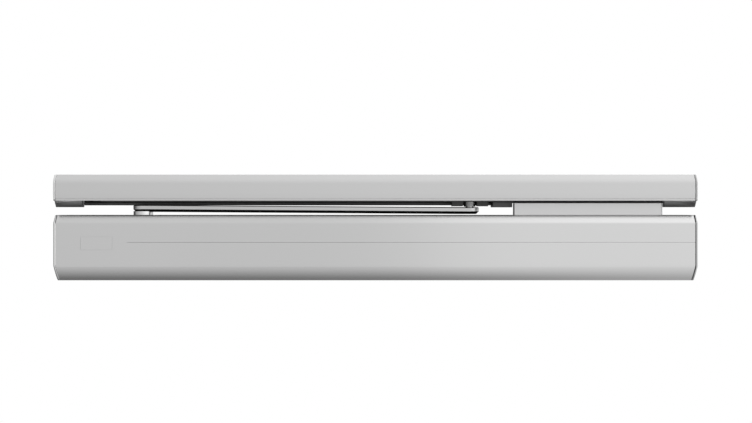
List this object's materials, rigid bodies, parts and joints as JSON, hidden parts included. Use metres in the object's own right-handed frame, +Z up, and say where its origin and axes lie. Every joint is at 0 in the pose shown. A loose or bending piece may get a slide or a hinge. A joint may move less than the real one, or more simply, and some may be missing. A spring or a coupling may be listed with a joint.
{
  "type": "door closer",
  "caption": "Slide-rail door closer with a fully covered cam-action body, flat lever arm, guide rail and an electric lock in the rail over a keeper block.",
  "frame": {"origin": "centre of the mounting plate's four fixing holes, on the plate's back face", "axes": "+X along the door towards its lock edge, +Y into the door and frame that the closer is screwed to, +Z up"},
  "size_m": [0.604, 0.05, 0.1],
  "materials": {
    "alu_body": "satin anodised",
    "alu_rail": "satin anodised",
    "alu_keeper": "satin anodised",
    "cap_body": "satin silver-grey",
    "cap_rail": "satin silver-grey",
    "arm_steel": "satin",
    "bright_steel": "polished",
    "steel": "machined",
    "dark_steel": "blackened",
    "plate_steel": "zinc plated",
    "cast_alu": "as cast, machined faces",
    "dark_alu": "dark anodised",
    "acetal": "moulded",
    "rubber": "moulded",
    "brass": "turned",
    "spring_steel": "oiled",
    "copper_coil": "wound wire",
    "terminal": "moulded"
  },
  "bodies": {
    "closer_body": {"mounting_plate": "plate_steel", "closer_housing": "cast_alu", "damping_plug": "dark_steel", "spring_plug": "dark_steel", "plug_seals": "rubber", "return_spring": "spring_steel", "main_spring": "spring_steel", "upper_bearing": "steel", "lower_bearing": "steel", "shaft_seal": "rubber", "upper_bearing_cap": "dark_steel", "lower_bearing_cap": "dark_steel", "front_cover": "alu_body", "body_cap_left": "cap_body", "body_cap_right": "cap_body", "cover_clips": "dark_steel", "housing_screws": "dark_steel", "body_cap_screws": "plate_steel", "badge_plate": "alu_body", "keeper_block": "alu_keeper", "keeper_bracket": "plate_steel", "keeper_screws": "plate_steel", "keeper_sleeves": "steel"},
    "arm": {"spindle": "steel", "heart_cam": "steel", "spindle_collar": "bright_steel", "lever_arm": "arm_steel", "arm_screw": "steel", "shoe_pin": "bright_steel", "pin_circlip": "dark_steel"},
    "shoe": {"slide_shoe": "acetal", "shoe_bush": "bright_steel"},
    "rail": {"rail_base": "dark_alu", "rail_track": "dark_alu", "rail_cover": "alu_rail", "rail_cap_left": "cap_rail", "rail_cap_right": "cap_rail", "rail_cap_screws": "plate_steel", "end_stop": "dark_alu", "stop_bumper": "rubber", "lock_case": "plate_steel", "lock_lid": "plate_steel", "lock_coil": "copper_coil", "terminal_block": "terminal", "cable_grommet": "rubber"},
    "spring_piston_group": {"spring_piston": "steel", "spring_roller_pin": "steel", "check_valve": "bright_steel"},
    "spring_roller_group": {"spring_roller": "steel"},
    "damping_piston_group": {"damping_piston": "steel", "damping_roller_pin": "steel"},
    "damping_roller_group": {"damping_roller": "steel"},
    "power_screw_group": {"power_screw": "steel"},
    "power_nut_group": {"power_nut": "steel"},
    "closing_valve_group": {"closing_valve": "brass"},
    "latching_valve_group": {"latching_valve": "brass"},
    "backcheck_valve_group": {"backcheck_valve": "brass"},
    "lock_slider_group": {"lock_slider": "steel"},
    "lock_bolt_group": {"lock_bolts": "steel"}
  },
  "joints": [
    {"name": "spindle_turn", "type": "hinge", "parent": "closer_body", "child": "arm", "pos_m": [-0.2236, -0.022, 0], "axis": [0, 0, 1], "range_deg": [0, 180], "stiffness_Nm_per_rad": 5, "springref_deg": -57.3},
    {"name": "shoe_swivel", "type": "hinge", "parent": "arm", "child": "shoe", "pos_m": [0.0906, -0.022, 0.047], "axis": [0, 0, -1], "range_deg": [0, 32]},
    {"name": "rail_slide", "type": "slide", "parent": "shoe", "child": "rail", "axis": [1, 0, 0], "range_m": [0, 0.3]},
    {"name": "spring_piston_slide", "type": "slide", "parent": "closer_body", "child": "spring_piston_group", "axis": [1, 0, 0], "range_m": [0, 0.0083], "deforming": ["main_spring"]},
    {"name": "spring_roller_spin", "type": "hinge", "parent": "spring_piston_group", "child": "spring_roller_group", "pos_m": [-0.2096, -0.022, 0], "axis": [0, 0, 1], "continuous": true},
    {"name": "damping_piston_slide", "type": "slide", "parent": "closer_body", "child": "damping_piston_group", "axis": [1, 0, 0], "range_m": [0, 0.0083], "deforming": ["return_spring"]},
    {"name": "damping_roller_spin", "type": "hinge", "parent": "damping_piston_group", "child": "damping_roller_group", "pos_m": [-0.2458, -0.022, 0], "axis": [0, 0, 1], "continuous": true},
    {"name": "power_screw_turn", "type": "hinge", "parent": "closer_body", "child": "power_screw_group", "pos_m": [-0.025, -0.022, 0], "axis": [1, 0, 0], "range_deg": [0, 2900]},
    {"name": "power_nut_slide", "type": "slide", "parent": "closer_body", "child": "power_nut_group", "axis": [-1, 0, 0], "range_m": [0, 0.01]},
    {"name": "closing_valve_turn", "type": "hinge", "parent": "closer_body", "child": "closing_valve_group", "pos_m": [-0.282, -0.0365, 0.017], "axis": [1, 0, 0], "range_deg": [0, 720]},
    {"name": "latching_valve_turn", "type": "hinge", "parent": "closer_body", "child": "latching_valve_group", "pos_m": [-0.282, -0.0365, -0.017], "axis": [1, 0, 0], "range_deg": [0, 720]},
    {"name": "backcheck_valve_turn", "type": "hinge", "parent": "closer_body", "child": "backcheck_valve_group", "pos_m": [-0.282, -0.0075, 0.017], "axis": [1, 0, 0], "range_deg": [0, 720]},
    {"name": "lock_slider_move", "type": "slide", "parent": "rail", "child": "lock_slider_group", "axis": [1, 0, 0], "range_m": [0, 0.008]},
    {"name": "lock_bolt_drop", "type": "slide", "parent": "rail", "child": "lock_bolt_group", "axis": [0, 0, -1], "range_m": [0, 0.008]}
  ],
  "couplings": [
    {"joint": "spring_piston_slide", "follows": "spindle_turn", "m_per_rad": 0.0026101},
    {"joint": "damping_piston_slide", "follows": "spindle_turn", "m_per_rad": 0.0026101},
    {"joint": "power_screw_turn", "follows": "power_nut_slide", "rad_per_m": 5026.5},
    {"joint": "lock_bolt_drop", "follows": "lock_slider_move", "ratio": 1}
  ]
}
